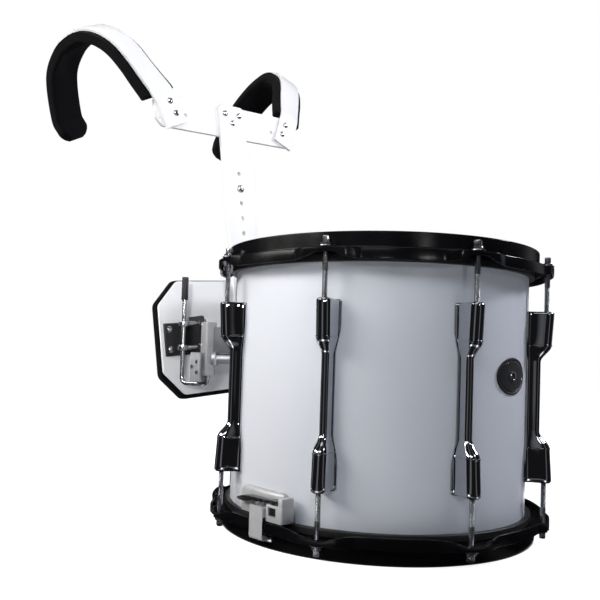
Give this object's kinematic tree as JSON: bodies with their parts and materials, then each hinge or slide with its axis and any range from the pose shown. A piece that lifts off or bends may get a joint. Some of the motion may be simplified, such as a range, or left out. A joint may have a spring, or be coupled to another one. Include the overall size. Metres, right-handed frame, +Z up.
{
  "type": "marching snare drum with shoulder carrier",
  "caption": "Marching snare drum that hangs from an adjustable white shoulder carrier by two hooked rods, with tension rods, a snare throw-off and padded shoulder straps.",
  "frame": {"origin": "the middle of the whole object's footprint, on the surface the bottom hoop stands on", "axes": "+Z up along the drum's axis, +Y towards the wearer, -X to the wearer's right, where the strainer is"},
  "size_m": [0.453, 0.6858, 0.6995],
  "materials": {
    "shell": "gloss white lacquer over a wooden ply shell",
    "head_film": "coated white film",
    "black_hoop": "semi-gloss black",
    "dark_chrome": "dark mirror chrome",
    "chrome": "bright chrome",
    "steel_wire": "bare steel",
    "strap_plastic": "milky translucent plastic",
    "white_metal": "gloss white powder coat",
    "black_metal": "satin black powder coat",
    "foam": "closed-cell foam with a fine cloth skin",
    "rubber": "matt rubber"
  },
  "bodies": {
    "drum": {"shell": "shell", "batter_head": "head_film", "snare_head": "head_film", "top_hoop": "black_hoop", "bottom_hoop": "black_hoop", "lug_1": "dark_chrome", "lug_2": "dark_chrome", "lug_3": "dark_chrome", "lug_4": "dark_chrome", "lug_5": "dark_chrome", "lug_6": "dark_chrome", "lug_7": "dark_chrome", "lug_8": "dark_chrome", "snare_wires": "steel_wire", "snare_strap_butt": "strap_plastic", "strainer_base": "chrome", "butt_plate": "chrome", "carrier_mount_right": "chrome", "j_rod_right": "chrome", "rod_sleeve_right": "rubber", "carrier_mount_left": "chrome", "j_rod_left": "chrome", "rod_sleeve_left": "rubber"},
    "rod_clamps": {"eye_bolt_upper_right": "chrome", "eye_bolt_lower_right": "chrome", "eye_bolt_upper_left": "chrome", "eye_bolt_lower_left": "chrome"},
    "carrier_frame": {"rail": "white_metal", "height_bolt_upper": "chrome", "height_bolt_lower": "chrome", "belly_plate": "white_metal", "belly_pad": "foam", "rod_bracket_right": "black_metal", "rod_bracket_left": "black_metal"},
    "shoulder_frame": {"stem": "white_metal", "crossbar": "white_metal", "shoulder_hook_right": "white_metal", "shoulder_pad_right": "foam", "shoulder_hook_left": "white_metal", "shoulder_pad_left": "foam"},
    "throw_lever": {"strainer_lever": "dark_chrome"},
    "throw_slide": {"strainer_slide": "chrome", "snare_strap_strainer": "strap_plastic"},
    "snare_knob": {"strainer_knob": "chrome"},
    "tension_rod_top_1": {"tension_rod_top_1": "chrome"},
    "tension_rod_bottom_1": {"tension_rod_bottom_1": "chrome"},
    "tension_rod_top_2": {"tension_rod_top_2": "chrome"},
    "tension_rod_bottom_2": {"tension_rod_bottom_2": "chrome"},
    "tension_rod_top_3": {"tension_rod_top_3": "chrome"},
    "tension_rod_bottom_3": {"tension_rod_bottom_3": "chrome"},
    "tension_rod_top_4": {"tension_rod_top_4": "chrome"},
    "tension_rod_bottom_4": {"tension_rod_bottom_4": "chrome"},
    "tension_rod_top_5": {"tension_rod_top_5": "chrome"},
    "tension_rod_bottom_5": {"tension_rod_bottom_5": "chrome"},
    "tension_rod_top_6": {"tension_rod_top_6": "chrome"},
    "tension_rod_bottom_6": {"tension_rod_bottom_6": "chrome"},
    "tension_rod_top_7": {"tension_rod_top_7": "chrome"},
    "tension_rod_bottom_7": {"tension_rod_bottom_7": "chrome"},
    "tension_rod_top_8": {"tension_rod_top_8": "chrome"},
    "tension_rod_bottom_8": {"tension_rod_bottom_8": "chrome"}
  },
  "joints": [
    {"name": "clamp_height", "type": "slide", "parent": "drum", "child": "rod_clamps", "axis": [0, 0, 1], "range_m": [-0.024, 0.006]},
    {"name": "carrier_tilt", "type": "hinge", "parent": "rod_clamps", "child": "carrier_frame", "pos_m": [-0.11177, 0.07883, 0.24], "axis": [0.9957, 0, 0.0924], "range_deg": [-8, 8]},
    {"name": "stem_height", "type": "slide", "parent": "carrier_frame", "child": "shoulder_frame", "axis": [-0.0921, 0.0715, 0.9932], "range_m": [-0.021, 0.04]},
    {"name": "strainer_throw", "type": "hinge", "parent": "drum", "child": "throw_lever", "pos_m": [-0.16597, -0.16867, 0.049], "axis": [0, 0, 1], "range_deg": [0, 100]},
    {"name": "strap_drop", "type": "slide", "parent": "drum", "child": "throw_slide", "axis": [0, 0, -1], "range_m": [0, 0.0025]},
    {"name": "snare_tension", "type": "hinge", "parent": "throw_slide", "child": "snare_knob", "pos_m": [-0.16557, -0.14317, 0.046], "axis": [0, 0, 1], "continuous": true},
    {"name": "turn_top_1", "type": "hinge", "parent": "drum", "child": "tension_rod_top_1", "pos_m": [0.101, -0.3261, 0.3], "axis": [0, 0, 1], "continuous": true},
    {"name": "turn_bottom_1", "type": "hinge", "parent": "drum", "child": "tension_rod_bottom_1", "pos_m": [0.101, -0.3261, 0.03], "axis": [0, 0, 1], "continuous": true},
    {"name": "turn_top_2", "type": "hinge", "parent": "drum", "child": "tension_rod_top_2", "pos_m": [0.20816, -0.21895, 0.3], "axis": [0, 0, 1], "continuous": true},
    {"name": "turn_bottom_2", "type": "hinge", "parent": "drum", "child": "tension_rod_bottom_2", "pos_m": [0.20816, -0.21895, 0.03], "axis": [0, 0, 1], "continuous": true},
    {"name": "turn_top_3", "type": "hinge", "parent": "drum", "child": "tension_rod_top_3", "pos_m": [0.20816, -0.0674, 0.3], "axis": [0, 0, 1], "continuous": true},
    {"name": "turn_bottom_3", "type": "hinge", "parent": "drum", "child": "tension_rod_bottom_3", "pos_m": [0.20816, -0.0674, 0.03], "axis": [0, 0, 1], "continuous": true},
    {"name": "turn_top_4", "type": "hinge", "parent": "drum", "child": "tension_rod_top_4", "pos_m": [0.101, 0.03975, 0.3], "axis": [0, 0, 1], "continuous": true},
    {"name": "turn_bottom_4", "type": "hinge", "parent": "drum", "child": "tension_rod_bottom_4", "pos_m": [0.101, 0.03975, 0.03], "axis": [0, 0, 1], "continuous": true},
    {"name": "turn_top_5", "type": "hinge", "parent": "drum", "child": "tension_rod_top_5", "pos_m": [-0.05054, 0.03975, 0.3], "axis": [0, 0, 1], "continuous": true},
    {"name": "turn_bottom_5", "type": "hinge", "parent": "drum", "child": "tension_rod_bottom_5", "pos_m": [-0.05054, 0.03975, 0.03], "axis": [0, 0, 1], "continuous": true},
    {"name": "turn_top_6", "type": "hinge", "parent": "drum", "child": "tension_rod_top_6", "pos_m": [-0.1577, -0.0674, 0.3], "axis": [0, 0, 1], "continuous": true},
    {"name": "turn_bottom_6", "type": "hinge", "parent": "drum", "child": "tension_rod_bottom_6", "pos_m": [-0.1577, -0.0674, 0.03], "axis": [0, 0, 1], "continuous": true},
    {"name": "turn_top_7", "type": "hinge", "parent": "drum", "child": "tension_rod_top_7", "pos_m": [-0.1577, -0.21895, 0.3], "axis": [0, 0, 1], "continuous": true},
    {"name": "turn_bottom_7", "type": "hinge", "parent": "drum", "child": "tension_rod_bottom_7", "pos_m": [-0.1577, -0.21895, 0.03], "axis": [0, 0, 1], "continuous": true},
    {"name": "turn_top_8", "type": "hinge", "parent": "drum", "child": "tension_rod_top_8", "pos_m": [-0.05054, -0.3261, 0.3], "axis": [0, 0, 1], "continuous": true},
    {"name": "turn_bottom_8", "type": "hinge", "parent": "drum", "child": "tension_rod_bottom_8", "pos_m": [-0.05054, -0.3261, 0.03], "axis": [0, 0, 1], "continuous": true}
  ],
  "couplings": [
    {"joint": "strap_drop", "follows": "strainer_throw", "m_per_rad": 0.00143}
  ]
}
